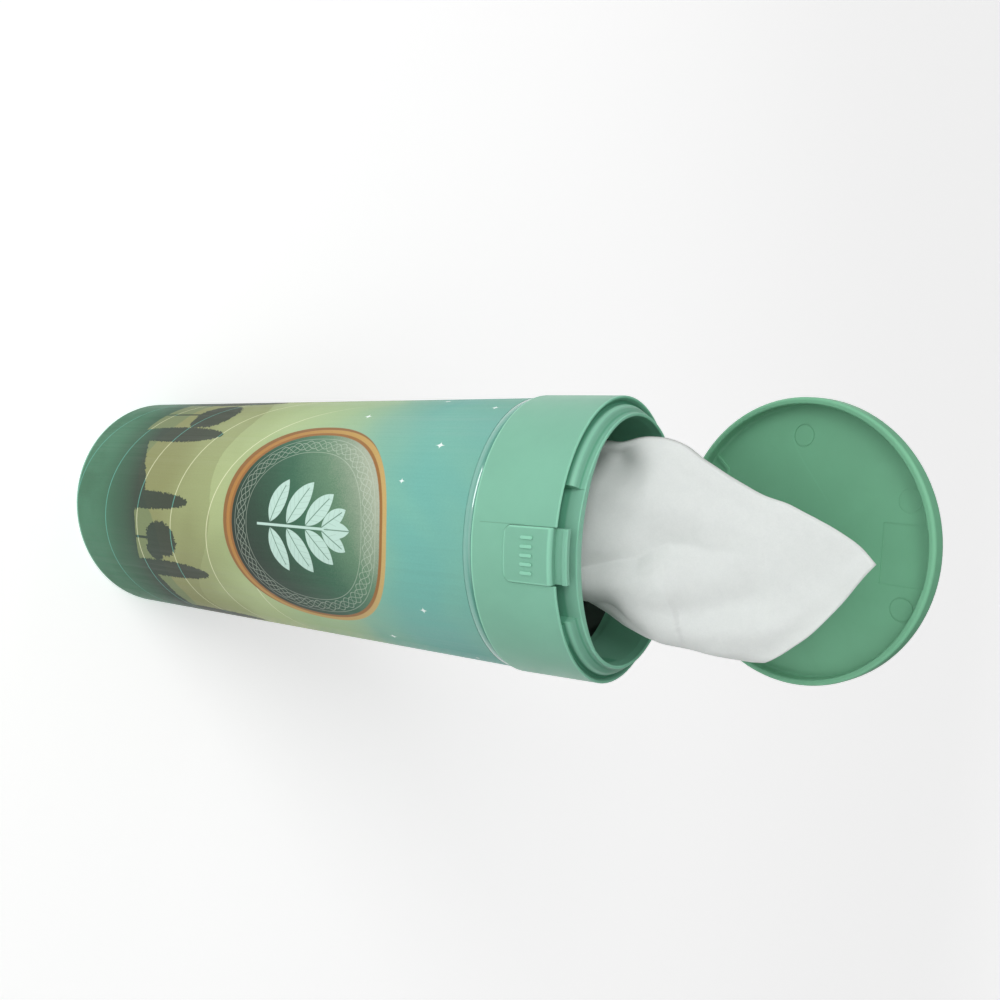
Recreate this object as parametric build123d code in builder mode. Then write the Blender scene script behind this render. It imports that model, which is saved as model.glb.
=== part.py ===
from build123d import *
import math
import os

os.makedirs("parts", exist_ok=True)

# ---------------------------------------------------------------------------
# Flip-top canister for rolled tissues, sized for a car cup holder.
# Millimetres.  +Z runs up the tube from the middle of its base, the lid's
# hinge is at +Y and the press latch at -Y.  The lid stands open on its stop.
# ---------------------------------------------------------------------------

# tube and printed film
TUBE_R = 37.58            # outside of the moulded tube
TUBE_WALL = 1.25
FILM = 0.12               # printed film round the tube
FILM_Z0, FILM_Z1 = 1.9, 164.5
SHOULDER_Z = 167.0        # top of the rounded shoulder
NECK_R, NECK_WALL = 35.7, 1.3
NECK_Z = 176.0            # top of the tube's own neck

# base cap
CAP_R = TUBE_R + 0.07
BASE_EDGE = 1.5
BASE_FLOOR = 2.0
BASE_PLUG_H = 6.0

# collar
COL_Z0, COL_Z1 = 167.2, 190.1
COL_R0, COL_R1 = 38.45, 38.0
COL_IN, COL_IN_Z = 36.8, 189.35      # inner edge, lower than the outer one
WIN_HALF = 6.87           # window for the press pad
WIN_Z0 = 176.4
WIN_CORNER = 2.0

# neck ring, with the mouth
MOUTH_R = 32.5
RIM_OUT, RIM_IN, RIM_Z = 33.64, 32.7, 193.5
BEAD_R, BEAD_Z0, BEAD_Z1 = 35.8, 188.5, 191.9
FLANGE_R = 36.74          # foot of the bead, and the seat on the tube's neck
FRONT_R, FRONT_Y = 36.9, 6.0   # flatter front wall of the mouth, and its centre
NOTCH_HALF = 27.0         # degrees, gap in the bead behind the latch

# hinge
HINGE_Y, HINGE_Z = 39.7, 191.1
LID_OPEN = 67.6           # degrees from shut, on the stop
PIN_R = 1.0
LUG_R, LUG_X0, LUG_X1 = 2.4, 8.1, 13.5
KN_R, KN_X0, KN_X1 = 2.3, 3.6, 7.7
RELIEF = 2.75

# lid, as it lies when shut
LID_R, LID_IN = 38.15, 36.35
LID_Z0, LID_FACE, LID_TOP = 190.6, 194.2, 195.6
LID_EDGE = 2.2
CATCH_HALF = 7.05
CATCH_LIP_R, CATCH_R, CATCH_LIP_Z, CATCH_TOP = 36.75, 37.45, 191.2, 193.3

# press latch
PAD_HALF, PAD_Z0, PAD_Z1, PAD_R = 6.77, 176.5, 189.4, 38.7
TONGUE_HALF, TONGUE_IN, TONGUE_OUT = 6.5, 35.6, 36.5
HOOK_Z0, HOOK_Z1, HOOK_R = 191.5, 192.6, 37.2
PIV_Y, PIV_Z, PIV_R, BOSS_R = -35.6, 178.3, 0.8, 1.7
EAR_X0, EAR_X1 = 7.15, 9.6
BOSS_HALF = 5.5
GRIP_Z, GRIP_LONG, GRIP_WIDE, GRIP_PITCH = 182.9, 3.2, 0.8, 2.1

# tissues
ROLL_R, ROLL_Z0, ROLL_Z1 = 31.0, 2.3, 156.0
SHEET = [  # z, middle x, half width, half thickness
    (157.0, -1.0, 8.0, 3.0),
    (176.0, -2.0, 19.0, 2.5),
    (193.0, -2.5, 24.0, 2.0),
    (207.0, 1.0, 24.0, 2.0),
    (220.0, 4.0, 22.0, 2.0),
    (231.0, 7.5, 18.5, 1.8),
    (243.0, 4.5, 11.0, 1.4),
    (251.5, 1.2, 1.6, 0.7),
]


def corner(sketch, r, z):
    """The corner nearest to (r, z) in the sketch's own plane."""
    return sketch.vertices().sort_by(lambda v: (v.X - r) ** 2 + (v.Y - z) ** 2)[0]


# ---------------------------------------------------------------------------
# base cap: a floor with a plug wall pushed into the tube, ring groove below
# ---------------------------------------------------------------------------
plug_r = TUBE_R - TUBE_WALL - 0.05
with BuildPart() as base_cap:
    with BuildSketch(Plane.XZ) as s:
        with BuildLine():
            Polyline(
                (0, 0), (25, 0), (25.4, 0.5), (32.6, 0.5), (33, 0),
                (CAP_R, 0), (CAP_R, 1.8), (plug_r, 1.8),
                (plug_r, BASE_FLOOR + BASE_PLUG_H),
                (plug_r - 1.2, BASE_FLOOR + BASE_PLUG_H),
                (plug_r - 1.2, BASE_FLOOR), (0, BASE_FLOOR), close=True,
            )
        make_face()
        fillet(corner(s, CAP_R, 0), BASE_EDGE)
        fillet(corner(s, plug_r - 1.2, BASE_FLOOR), 0.8)
        fillet(corner(s, plug_r, BASE_FLOOR + BASE_PLUG_H), 0.4)
    revolve(axis=Axis.Z)
base_cap.part.label = "base_cap"
export_step(base_cap.part, "parts/base_cap.step")

# ---------------------------------------------------------------------------
# tube: straight wall, a rounded shoulder and a short neck for the collar
# ---------------------------------------------------------------------------
tube_in = TUBE_R - TUBE_WALL
with BuildPart() as tube:
    with BuildSketch(Plane.XZ) as s:
        with BuildLine():
            Polyline(
                (TUBE_R, SHOULDER_Z - 2.35), (TUBE_R, 1.9), (tube_in, 1.9),
                (tube_in, 163.6), (NECK_R - NECK_WALL, 168.6),
                (NECK_R - NECK_WALL, NECK_Z), (NECK_R, NECK_Z),
                (NECK_R, SHOULDER_Z), (36.7, SHOULDER_Z),
            )
            ThreePointArc(
                (36.7, SHOULDER_Z), (37.62, SHOULDER_Z - 1.0),
                (TUBE_R + FILM, SHOULDER_Z - 2.3),
            )
            Line((TUBE_R + FILM, SHOULDER_Z - 2.3), (TUBE_R, SHOULDER_Z - 2.35))
        make_face()
        fillet(corner(s, tube_in, 163.6), 3.0)
        fillet(corner(s, NECK_R, NECK_Z), 0.4)
    revolve(axis=Axis.Z)
tube.part.label = "tube"
export_step(tube.part, "parts/tube.step")

# ---------------------------------------------------------------------------
# printed sleeve: a thin film shrunk round the tube
# ---------------------------------------------------------------------------
with BuildPart() as printed_sleeve:
    with BuildSketch(Plane.XY.offset(FILM_Z0)):
        Circle(TUBE_R + FILM)
        Circle(TUBE_R, mode=Mode.SUBTRACT)
    extrude(amount=FILM_Z1 - FILM_Z0)
printed_sleeve.part.label = "printed_sleeve"
export_step(printed_sleeve.part, "parts/printed_sleeve.step")

# ---------------------------------------------------------------------------
# collar: outer ring with the pad's window, latch ears and hinge lugs
# ---------------------------------------------------------------------------
with BuildPart() as collar:
    with BuildSketch(Plane.XZ) as s:
        with BuildLine():
            Polyline(
                (COL_R0, COL_Z0), (COL_R1, COL_Z1), (COL_R1 - 0.55, COL_Z1),
                (COL_IN, COL_IN_Z), (COL_IN, NECK_Z - 0.1), (NECK_R + 0.1, NECK_Z - 0.1),
                (NECK_R + 0.1, COL_Z0), close=True,
            )
        make_face()
        fillet(corner(s, COL_R0, COL_Z0), 0.4)
        fillet(corner(s, COL_R1, COL_Z1), 0.35)
        fillet(corner(s, COL_R1 - 0.55, COL_Z1), 0.3)
    revolve(axis=Axis.Z)
    # hinge lugs behind, one each side, webbed down into the wall
    for x in (LUG_X0, -LUG_X1):
        with BuildSketch(Plane.YZ.offset(x)):
            with BuildLine():
                Polyline(
                    (36.9, COL_Z1 - 0.3), (HINGE_Y - 0.6, COL_Z1 - 0.3),
                    (HINGE_Y, HINGE_Z), (HINGE_Y + LUG_R, HINGE_Z),
                    (HINGE_Y + LUG_R - 0.35, HINGE_Z - 2.4),
                    (37.6, 181.5), (36.9, 181.5), close=True,
                )
            make_face()
            with Locations((HINGE_Y, HINGE_Z)):
                Circle(LUG_R)
        extrude(amount=LUG_X1 - LUG_X0)
    # ears inside the window's foot carry the latch pin
    for x in (EAR_X0, -EAR_X1):
        with BuildSketch(Plane.YZ.offset(x)) as e:
            with Locations(((-36.6 - 33.9) / 2, PIV_Z)):
                Rectangle(2.7, 2 * BOSS_R)
            fillet(e.vertices().group_by(Axis.X)[-1], 0.9)
        extrude(amount=EAR_X1 - EAR_X0)
    # window for the press pad, open at the top
    with BuildSketch(Plane.XZ.offset(34.0)) as w:
        with Locations((0, (WIN_Z0 + 192.0) / 2)):
            Rectangle(2 * WIN_HALF, 192.0 - WIN_Z0)
        fillet(w.vertices().group_by(Axis.Y)[0], WIN_CORNER)
    extrude(amount=6.0, mode=Mode.SUBTRACT)
    # bay for the lid's knuckles and the spring
    with BuildSketch(Plane.YZ.offset(-8.0)):
        with Locations((HINGE_Y, HINGE_Z)):
            Circle(RELIEF)
    extrude(amount=16.0, mode=Mode.SUBTRACT)
    # bores for the hinge pin and the latch pin
    with BuildSketch(Plane.YZ.offset(-14.0)):
        with Locations((HINGE_Y, HINGE_Z)):
            Circle(PIN_R + 0.03)
    extrude(amount=28.0, mode=Mode.SUBTRACT)
    with BuildSketch(Plane.YZ.offset(-9.0)):
        with Locations((PIV_Y, PIV_Z)):
            Circle(PIV_R + 0.03)
    extrude(amount=18.0, mode=Mode.SUBTRACT)
collar.part.label = "collar"
export_step(collar.part, "parts/collar.step")

# ---------------------------------------------------------------------------
# neck ring: inner sleeve of the mouth, its rim, the bead and a seat flange
# ---------------------------------------------------------------------------
with BuildPart() as front_wall:     # the mouth's flatter wall behind the latch
    with BuildSketch(Plane.XZ.offset(-FRONT_Y)) as s:
        with BuildLine():
            Polyline(
                (FRONT_R - 0.15, 178.0), (FRONT_R - 0.15, 191.0), (FRONT_R, 192.6),
                (FRONT_R, RIM_Z), (48, RIM_Z), (48, 178.0), close=True,
            )
        make_face()
        fillet(corner(s, FRONT_R, RIM_Z), 0.45)
    revolve(axis=Axis((0, FRONT_Y, 0), (0, 0, 1)))
    with BuildSketch(Plane.XY.offset(176.0)):
        Circle(33.3)
    extrude(amount=20.0, mode=Mode.INTERSECT)

with BuildPart() as neck_ring:
    with BuildSketch(Plane.XZ) as s:
        with BuildLine():
            Polyline(
                (MOUTH_R, 178.5), (MOUTH_R, 191.0), (RIM_IN, 192.6),
                (RIM_IN, RIM_Z), (RIM_OUT, RIM_Z), (RIM_OUT, 192.35),
                (34.1, BEAD_Z1), (35.0, 191.45), (BEAD_R, 190.2), (BEAD_R, BEAD_Z0),
                (FLANGE_R, BEAD_Z0 + 0.7), (FLANGE_R, BEAD_Z0 - 1.1), (33.6, BEAD_Z0 - 1.1),
                (33.6, 177.7), (FLANGE_R, 177.7), (FLANGE_R, NECK_Z + 0.1),
                (32.9, NECK_Z + 0.1), (32.9, 178.5), close=True,
            )
        make_face()
        fillet(corner(s, BEAD_R, 190.2), 0.9)
        fillet(corner(s, 35.0, 191.45), 0.7)
        fillet(corner(s, 34.1, BEAD_Z1), 0.3)
        fillet(corner(s, RIM_OUT, 192.35), 0.15)
        fillet(corner(s, RIM_OUT, RIM_Z), 0.35)
        fillet(corner(s, RIM_IN, RIM_Z), 0.35)
        fillet(corner(s, BEAD_R, BEAD_Z0), 0.35)
    revolve(axis=Axis.Z)
    # gap at the front, from the rim down through the seat flange
    with BuildSketch(Plane.XY.offset(170.0)) as w:
        with BuildLine():
            reach = 60.0
            Polyline(
                (0, 0),
                (reach * math.sin(math.radians(-NOTCH_HALF)), -reach * math.cos(math.radians(NOTCH_HALF))),
                (reach * math.sin(math.radians(NOTCH_HALF)), -reach * math.cos(math.radians(NOTCH_HALF))),
                close=True,
            )
        make_face()
        Circle(33.5, mode=Mode.SUBTRACT)
    extrude(amount=30.0, mode=Mode.SUBTRACT)
    add(front_wall.part)
    # one small locating block in the groove beside the gap
    with BuildSketch(Plane.XY.offset(BEAD_Z0 - 0.5)):
        Circle(FLANGE_R - 0.05)
        with BuildLine():
            Polyline(
                (0, 0),
                (reach * math.sin(math.radians(28)), -reach * math.cos(math.radians(28))),
                (reach * math.sin(math.radians(38)), -reach * math.cos(math.radians(38))),
                close=True,
            )
        make_face(mode=Mode.INTERSECT)
        Circle(BEAD_R - 0.4, mode=Mode.SUBTRACT)
    extrude(amount=1.5)
neck_ring.part.label = "neck_ring"
export_step(neck_ring.part, "parts/neck_ring.step")

# ---------------------------------------------------------------------------
# lid: dished cap, built shut, then swung open about the hinge
# ---------------------------------------------------------------------------
hinge = Axis((0, HINGE_Y, HINGE_Z), (1, 0, 0))
with BuildPart() as lid_shut:
    with BuildSketch(Plane.XZ) as s:
        with BuildLine():
            Polyline(
                (0, LID_TOP), (LID_R, LID_TOP), (LID_R, LID_Z0),
                (LID_IN, LID_Z0), (LID_IN, LID_FACE), (0, LID_FACE), close=True,
            )
        make_face()
        fillet(corner(s, LID_R, LID_TOP), LID_EDGE)
        fillet(corner(s, LID_R, LID_Z0), 0.8)
        fillet(corner(s, LID_IN, LID_Z0), 0.4)
        fillet(corner(s, LID_IN, LID_FACE), 0.8)
    revolve(axis=Axis.Z)
    # shallow flat recess behind the catch
    with BuildSketch(Plane.XY.offset(LID_FACE)):
        with Locations((0, -29.5)):
            Rectangle(15.2, 12.4)
    extrude(amount=0.14, mode=Mode.SUBTRACT)
    # catch: a pocket in the skirt over a thin lip
    with BuildSketch(Plane.XY.offset(CATCH_LIP_Z)):
        Circle(CATCH_R)
        with Locations((0, -38)):
            Rectangle(2 * CATCH_HALF, 12, mode=Mode.INTERSECT)
    extrude(amount=CATCH_TOP - CATCH_LIP_Z, mode=Mode.SUBTRACT)
    with BuildSketch(Plane.XY.offset(LID_Z0 - 0.5)):
        Circle(CATCH_LIP_R)
        with Locations((0, -38)):
            Rectangle(2 * CATCH_HALF, 12, mode=Mode.INTERSECT)
    extrude(amount=CATCH_LIP_Z - LID_Z0 + 0.6, mode=Mode.SUBTRACT)
    # rings left by the round ejectors
    for x, y, deep in ((-28.3, 0.3, 0.16), (13.2, -29.6, 0.14), (-13.2, -29.6, 0.08)):
        with BuildSketch(Plane.XY.offset(LID_FACE)):
            with Locations((x, y)):
                Circle(3.05)
                Circle(2.7, mode=Mode.SUBTRACT)
        extrude(amount=deep, mode=Mode.SUBTRACT)
    # low stiffening rib round the hinge side
    with BuildSketch(Plane.XY.offset(LID_FACE)):
        with BuildLine():
            rib = Polyline((-22.6, 28.8), (-18.7, 24.3), (18.7, 24.3), (22.6, 28.8))
            offset(amount=0.4, side=Side.BOTH)
        make_face()
    extrude(amount=-0.45)
    # knuckles round the hinge pin, with webs into the skirt
    for x in (KN_X0, -KN_X1):
        with BuildSketch(Plane.YZ.offset(x)):
            with BuildLine():
                Polyline(
                    (36.9, LID_Z0), (HINGE_Y, LID_Z0), (HINGE_Y, HINGE_Z + KN_R),
                    (37.0, LID_FACE + 0.2), (36.9, LID_FACE + 0.2), close=True,
                )
            make_face()
            with Locations((HINGE_Y, HINGE_Z)):
                Circle(KN_R)
        extrude(amount=KN_X1 - KN_X0)
    # reliefs for the collar's lugs and for the spring
    for x, w in ((LUG_X0 - 0.3, LUG_X1 - LUG_X0 + 0.6), (-LUG_X1 - 0.3, LUG_X1 - LUG_X0 + 0.6), (-3.6, 7.2)):
        with BuildSketch(Plane.YZ.offset(x)):
            with Locations((HINGE_Y, HINGE_Z)):
                Circle(RELIEF)
        extrude(amount=w, mode=Mode.SUBTRACT)
    with BuildSketch(Plane.YZ.offset(-14.0)):
        with Locations((HINGE_Y, HINGE_Z)):
            Circle(PIN_R + 0.06)
    extrude(amount=28.0, mode=Mode.SUBTRACT)

with BuildPart() as lid:
    add(lid_shut.part.rotate(hinge, -LID_OPEN))
    # heels under the knuckles meet the collar's back and stop the lid
    for x in (KN_X0, -KN_X1):
        with BuildSketch(Plane.YZ.offset(x)) as h:
            with Locations(((38.4 + 40.6) / 2, (186.6 + 189.6) / 2)):
                Rectangle(2.2, 3.0)
            fillet(h.vertices().group_by(Axis.Y)[0], 0.5)
        extrude(amount=KN_X1 - KN_X0)
lid.part.label = "lid"
export_step(lid.part, "parts/lid.step")

# ---------------------------------------------------------------------------
# hinge pin
# ---------------------------------------------------------------------------
with BuildPart() as hinge_pin:
    with BuildSketch(Plane.YZ.offset(-13.3)):
        with Locations((HINGE_Y, HINGE_Z)):
            Circle(PIN_R)
    extrude(amount=26.6)
    chamfer(hinge_pin.edges().filter_by(GeomType.CIRCLE), 0.2)
hinge_pin.part.label = "hinge_pin"
export_step(hinge_pin.part, "parts/hinge_pin.step")

# ---------------------------------------------------------------------------
# lid spring: torsion coil round the pin, one leg down the collar's back
# ---------------------------------------------------------------------------
SPR_R, SPR_WIRE, SPR_HALF = 1.42, 0.2, 2.6
lean = 90.0 - LID_OPEN                    # between the two legs
spring_turns = 8 - lean / 360.0
with BuildPart() as spring_coil:
    with BuildLine() as path:
        Helix(pitch=2 * SPR_HALF / spring_turns, height=2 * SPR_HALF, radius=SPR_R,
              center=(-SPR_HALF, HINGE_Y, HINGE_Z), direction=(1, 0, 0))
    with BuildSketch(Plane(origin=path.line @ 0, z_dir=path.line % 0)):
        Circle(SPR_WIRE)
    sweep()
    with BuildSketch(Plane(origin=path.line @ 0, z_dir=-(path.line % 0))):
        Circle(SPR_WIRE)
    extrude(amount=2.0)
    with BuildSketch(Plane(origin=path.line @ 1, z_dir=path.line % 1)):
        Circle(SPR_WIRE)
    extrude(amount=4.2)
with BuildPart() as lid_spring:
    add(spring_coil.part.rotate(hinge, 90.0 + lean))
lid_spring.part.label = "lid_spring"
export_step(lid_spring.part, "parts/lid_spring.step")

# ---------------------------------------------------------------------------
# press latch: ribbed pad, tongue, hook bar and the boss on its pin
# ---------------------------------------------------------------------------
with BuildPart() as grips:      # five low ribs side by side on the pad's face
    with BuildSketch(Plane.XY.offset(177.0)):
        Circle(PAD_R + 0.28)
        Circle(PAD_R - 0.3, mode=Mode.SUBTRACT)
    extrude(amount=12.0)
    with BuildSketch(Plane.XZ.offset(30.0)) as p:
        with Locations(*[(k * GRIP_PITCH, GRIP_Z) for k in (-2, -1, 0, 1, 2)]):
            SlotOverall(GRIP_LONG, GRIP_WIDE, rotation=90)
    extrude(amount=12.0, mode=Mode.INTERSECT)

with BuildPart() as press_latch:
    # pad, curved with the collar
    with BuildSketch(Plane.XY.offset(PAD_Z0)):
        Circle(PAD_R)
        with Locations((0, -38)):
            Rectangle(2 * PAD_HALF, 12, mode=Mode.INTERSECT)
        Circle(TONGUE_OUT, mode=Mode.SUBTRACT)
    extrude(amount=PAD_Z1 - PAD_Z0)
    crest = press_latch.edges().filter_by(GeomType.CIRCLE).filter_by_position(
        Axis.Z, PAD_Z1 - 0.01, PAD_Z1 + 0.01).sort_by(lambda e: e.center().Y)[0]
    fillet(crest, 1.0)
    with BuildSketch(Plane.XZ.offset(34.0)) as w:
        with Locations((0, (PAD_Z0 + PAD_Z1) / 2)):
            Rectangle(2 * PAD_HALF, PAD_Z1 - PAD_Z0)
        fillet(w.vertices().group_by(Axis.Y)[0], WIN_CORNER - 0.1)
    extrude(amount=6.0, mode=Mode.INTERSECT)
    outer = press_latch.faces().filter_by(GeomType.CYLINDER).sort_by(
        lambda f: f.center().Y)[0]
    fillet([e for e in outer.edges() if e.center().Z < PAD_Z1 - 1.5], 0.4)
    add(grips.part)
    # tongue behind the pad, up to the hook
    with BuildSketch(Plane.XY.offset(PIV_Z)):
        Circle(TONGUE_OUT)
        with Locations((0, -38)):
            Rectangle(2 * TONGUE_HALF, 12, mode=Mode.INTERSECT)
        Circle(TONGUE_IN, mode=Mode.SUBTRACT)
    extrude(amount=HOOK_Z1 - PIV_Z)
    # hook bar, with a sloped nose that the lid's lip rides over
    with BuildSketch(Plane.XY.offset(HOOK_Z0)):
        Circle(HOOK_R)
        with Locations((0, -38)):
            Rectangle(2 * TONGUE_HALF, 12, mode=Mode.INTERSECT)
        Circle(TONGUE_OUT - 0.2, mode=Mode.SUBTRACT)
    extrude(amount=HOOK_Z1 - HOOK_Z0)
    nose = press_latch.edges().filter_by_position(Axis.Z, HOOK_Z1 - 0.01, HOOK_Z1 + 0.01).sort_by(
        lambda e: e.center().Y)[0]
    chamfer(nose, 0.35)
    # boss on the latch pin
    with BuildSketch(Plane.YZ.offset(-BOSS_HALF)):
        with Locations((PIV_Y, PIV_Z)):
            Circle(BOSS_R)
    extrude(amount=2 * BOSS_HALF)
    with BuildSketch(Plane.YZ.offset(-9.0)):
        with Locations((PIV_Y, PIV_Z)):
            Circle(PIV_R + 0.06)
    extrude(amount=18.0, mode=Mode.SUBTRACT)
press_latch.part.label = "press_latch"
export_step(press_latch.part, "parts/press_latch.step")

# ---------------------------------------------------------------------------
# latch pin
# ---------------------------------------------------------------------------
with BuildPart() as latch_pin:
    with BuildSketch(Plane.YZ.offset(-9.0)):
        with Locations((PIV_Y, PIV_Z)):
            Circle(PIV_R)
    extrude(amount=18.0)
    chamfer(latch_pin.edges().filter_by(GeomType.CIRCLE), 0.15)
latch_pin.part.label = "latch_pin"
export_step(latch_pin.part, "parts/latch_pin.step")

# ---------------------------------------------------------------------------
# latch spring: bowed steel leaf between the neck ring and the tongue
# ---------------------------------------------------------------------------
with BuildPart() as latch_spring:
    with BuildSketch(Plane.YZ.offset(-2.5)) as s:
        with BuildLine():
            leaf = ThreePointArc((-33.74, 180.6), (-35.1, 185.0), (-33.74, 189.4))
            offset(amount=0.11, side=Side.BOTH)
        make_face()
    extrude(amount=5.0)
latch_spring.part.label = "latch_spring"
export_step(latch_spring.part, "parts/latch_spring.step")

# ---------------------------------------------------------------------------
# tissues: the wound refill in the tube, and the sheet drawn out of its middle
# ---------------------------------------------------------------------------
with BuildPart() as tissue_roll:
    with BuildSketch(Plane.XZ) as s:
        with BuildLine():
            Polyline(
                (0, ROLL_Z0), (ROLL_R, ROLL_Z0), (ROLL_R, ROLL_Z1),
                (0, ROLL_Z1), close=True,
            )
        make_face()
        fillet(corner(s, ROLL_R, ROLL_Z1), 2.0)
        fillet(corner(s, ROLL_R, ROLL_Z0), 1.0)
    revolve(axis=Axis.Z)
tissue_roll.part.label = "tissue_roll"
export_step(tissue_roll.part, "parts/tissue_roll.step")

with BuildPart() as tissue_sheet:
    for z, x, a, b in SHEET:
        with BuildSketch(Plane.XY.offset(z)):
            with Locations((x, 0)):
                Ellipse(a, b)
    loft()
tissue_sheet.part.label = "tissue_sheet"
export_step(tissue_sheet.part, "parts/tissue_sheet.step")
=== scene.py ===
import bpy, bmesh, math
import numpy as np
from mathutils import Matrix, Vector


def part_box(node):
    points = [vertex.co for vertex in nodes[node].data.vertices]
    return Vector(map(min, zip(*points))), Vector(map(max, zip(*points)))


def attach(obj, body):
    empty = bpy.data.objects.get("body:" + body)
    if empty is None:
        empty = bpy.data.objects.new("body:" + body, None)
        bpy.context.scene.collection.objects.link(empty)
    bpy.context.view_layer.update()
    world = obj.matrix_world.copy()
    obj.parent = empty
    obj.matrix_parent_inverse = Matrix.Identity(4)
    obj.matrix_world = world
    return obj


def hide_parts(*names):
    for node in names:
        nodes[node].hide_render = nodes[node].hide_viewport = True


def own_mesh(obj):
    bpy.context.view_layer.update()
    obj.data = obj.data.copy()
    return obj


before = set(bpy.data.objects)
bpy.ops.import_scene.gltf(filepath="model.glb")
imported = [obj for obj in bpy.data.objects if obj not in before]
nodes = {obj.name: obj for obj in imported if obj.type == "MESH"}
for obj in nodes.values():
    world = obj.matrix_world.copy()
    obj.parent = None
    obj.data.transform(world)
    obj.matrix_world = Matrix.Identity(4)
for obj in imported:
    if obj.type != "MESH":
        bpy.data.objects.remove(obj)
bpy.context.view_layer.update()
MM = 0.001
scene = bpy.context.scene

# ------------------------------------------------------------------ camera
cam_data = bpy.data.cameras.new("camera")
cam = bpy.data.objects.new("camera", cam_data)
scene.collection.objects.link(cam)
right = Vector((-0.011356, 0.540551, 0.841235))
down = Vector((0.987716, -0.125057, 0.093692))
ahead = Vector((0.155847, 0.831965, -0.532490))
cam.matrix_world = Matrix((
    (right.x, -down.x, -ahead.x, -0.026997),
    (right.y, -down.y, -ahead.y, -0.203070),
    (right.z, -down.z, -ahead.z, 0.277684),
    (0, 0, 0, 1)))
cam_data.sensor_width = 36.0
cam_data.sensor_fit = "HORIZONTAL"
cam_data.lens = 29.774
cam_data.shift_x = 0.01236
cam_data.shift_y = 0.06745
cam_data.clip_start = 0.01
cam_data.clip_end = 60.0
scene.camera = cam


# ------------------------------------------------- arithmetic in materials
class V:
    """A number in a material's node tree, with the usual arithmetic."""
    tree = None

    def __init__(self, socket):
        self.s = socket

    @staticmethod
    def op(kind, *args, clamp=False):
        n = V.tree.nodes.new("ShaderNodeMath")
        n.operation = kind
        n.use_clamp = clamp
        for i, a in enumerate(args):
            if isinstance(a, V):
                V.tree.links.new(a.s, n.inputs[i])
            else:
                n.inputs[i].default_value = float(a)
        return V(n.outputs[0])

    def __add__(self, o): return V.op("ADD", self, o)
    def __radd__(self, o): return V.op("ADD", o, self)
    def __sub__(self, o): return V.op("SUBTRACT", self, o)
    def __rsub__(self, o): return V.op("SUBTRACT", o, self)
    def __mul__(self, o): return V.op("MULTIPLY", self, o)
    def __rmul__(self, o): return V.op("MULTIPLY", o, self)
    def __truediv__(self, o): return V.op("DIVIDE", self, o)
    def __neg__(self): return V.op("MULTIPLY", self, -1.0)


def vsin(a): return V.op("SINE", a)
def vcos(a): return V.op("COSINE", a)
def vabs(a): return V.op("ABSOLUTE", a)
def vsqrt(a): return V.op("SQRT", a)
def vmin(a, b): return V.op("MINIMUM", a, b)
def vmax(a, b): return V.op("MAXIMUM", a, b)
def vpow(a, b): return V.op("POWER", a, b)
def vfloor(a): return V.op("FLOOR", a)
def vmod(a, b): return V.op("FLOORED_MODULO", a, b)
def hyp(a, b): return vsqrt(a * a + b * b)
def clamp(a): return V.op("ADD", a, 0.0, clamp=True)


def step(x, edge, soft):
    """0 below edge, 1 above it, over a width of soft."""
    n = V.tree.nodes.new("ShaderNodeMapRange")
    n.interpolation_type = "SMOOTHSTEP"
    V.tree.links.new(x.s, n.inputs["Value"])
    for key, val in (("From Min", edge - soft / 2), ("From Max", edge + soft / 2)):
        if isinstance(val, V):
            V.tree.links.new(val.s, n.inputs[key])
        else:
            n.inputs[key].default_value = val
    return V(n.outputs[0])


def below(x, edge, soft):
    return 1.0 - step(x, edge, soft)


def vector(x, y, z=0.0):
    n = V.tree.nodes.new("ShaderNodeCombineXYZ")
    for i, a in enumerate((x, y, z)):
        if isinstance(a, V):
            V.tree.links.new(a.s, n.inputs[i])
        else:
            n.inputs[i].default_value = a
    return n.outputs[0]


def noise(scale, detail=2.0, rough=0.5, vec=None, distortion=0.0):
    n = V.tree.nodes.new("ShaderNodeTexNoise")
    n.inputs["Scale"].default_value = scale
    n.inputs["Detail"].default_value = detail
    n.inputs["Roughness"].default_value = rough
    n.inputs["Distortion"].default_value = distortion
    if vec is not None:
        V.tree.links.new(vec, n.inputs["Vector"])
    return V(n.outputs["Fac"])


def mixc(fac, a, b, kind="MIX"):
    """A colour between a and b; either may be a socket or a colour."""
    n = V.tree.nodes.new("ShaderNodeMix")
    n.data_type = "RGBA"
    n.blend_type = kind
    if isinstance(fac, V):
        V.tree.links.new(fac.s, n.inputs[0])
    else:
        n.inputs[0].default_value = fac
    for i, c in ((6, a), (7, b)):
        if isinstance(c, bpy.types.NodeSocket):
            V.tree.links.new(c, n.inputs[i])
        else:
            n.inputs[i].default_value = (*c, 1.0)
    return n.outputs[2]


def ramp(x, stops):
    n = V.tree.nodes.new("ShaderNodeValToRGB")
    el = n.color_ramp.elements
    while len(el) < len(stops):
        el.new(0.5)
    for e, (p, c) in zip(el, stops):
        e.position = p
        e.color = (*c, 1.0)
    V.tree.links.new(x.s, n.inputs[0])
    return n.outputs[0]


def lin(r, g, b):
    """A display colour, 0 to 255, as the renderer's linear one."""
    f = lambda c: c / 12.92 if c <= 0.04045 else ((c + 0.055) / 1.055) ** 2.4
    return tuple(f(c / 255.0) for c in (r, g, b))


def start(name):
    m = bpy.data.materials.new(name)
    m.use_nodes = True
    t = m.node_tree
    V.tree = t
    b = t.nodes["Principled BSDF"]
    co = t.nodes.new("ShaderNodeTexCoord")
    return m, t, b, co.outputs["Object"]


def split(co):
    n = V.tree.nodes.new("ShaderNodeSeparateXYZ")
    V.tree.links.new(co, n.inputs[0])
    return [V(n.outputs[i]) * 1000.0 for i in range(3)]


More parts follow.
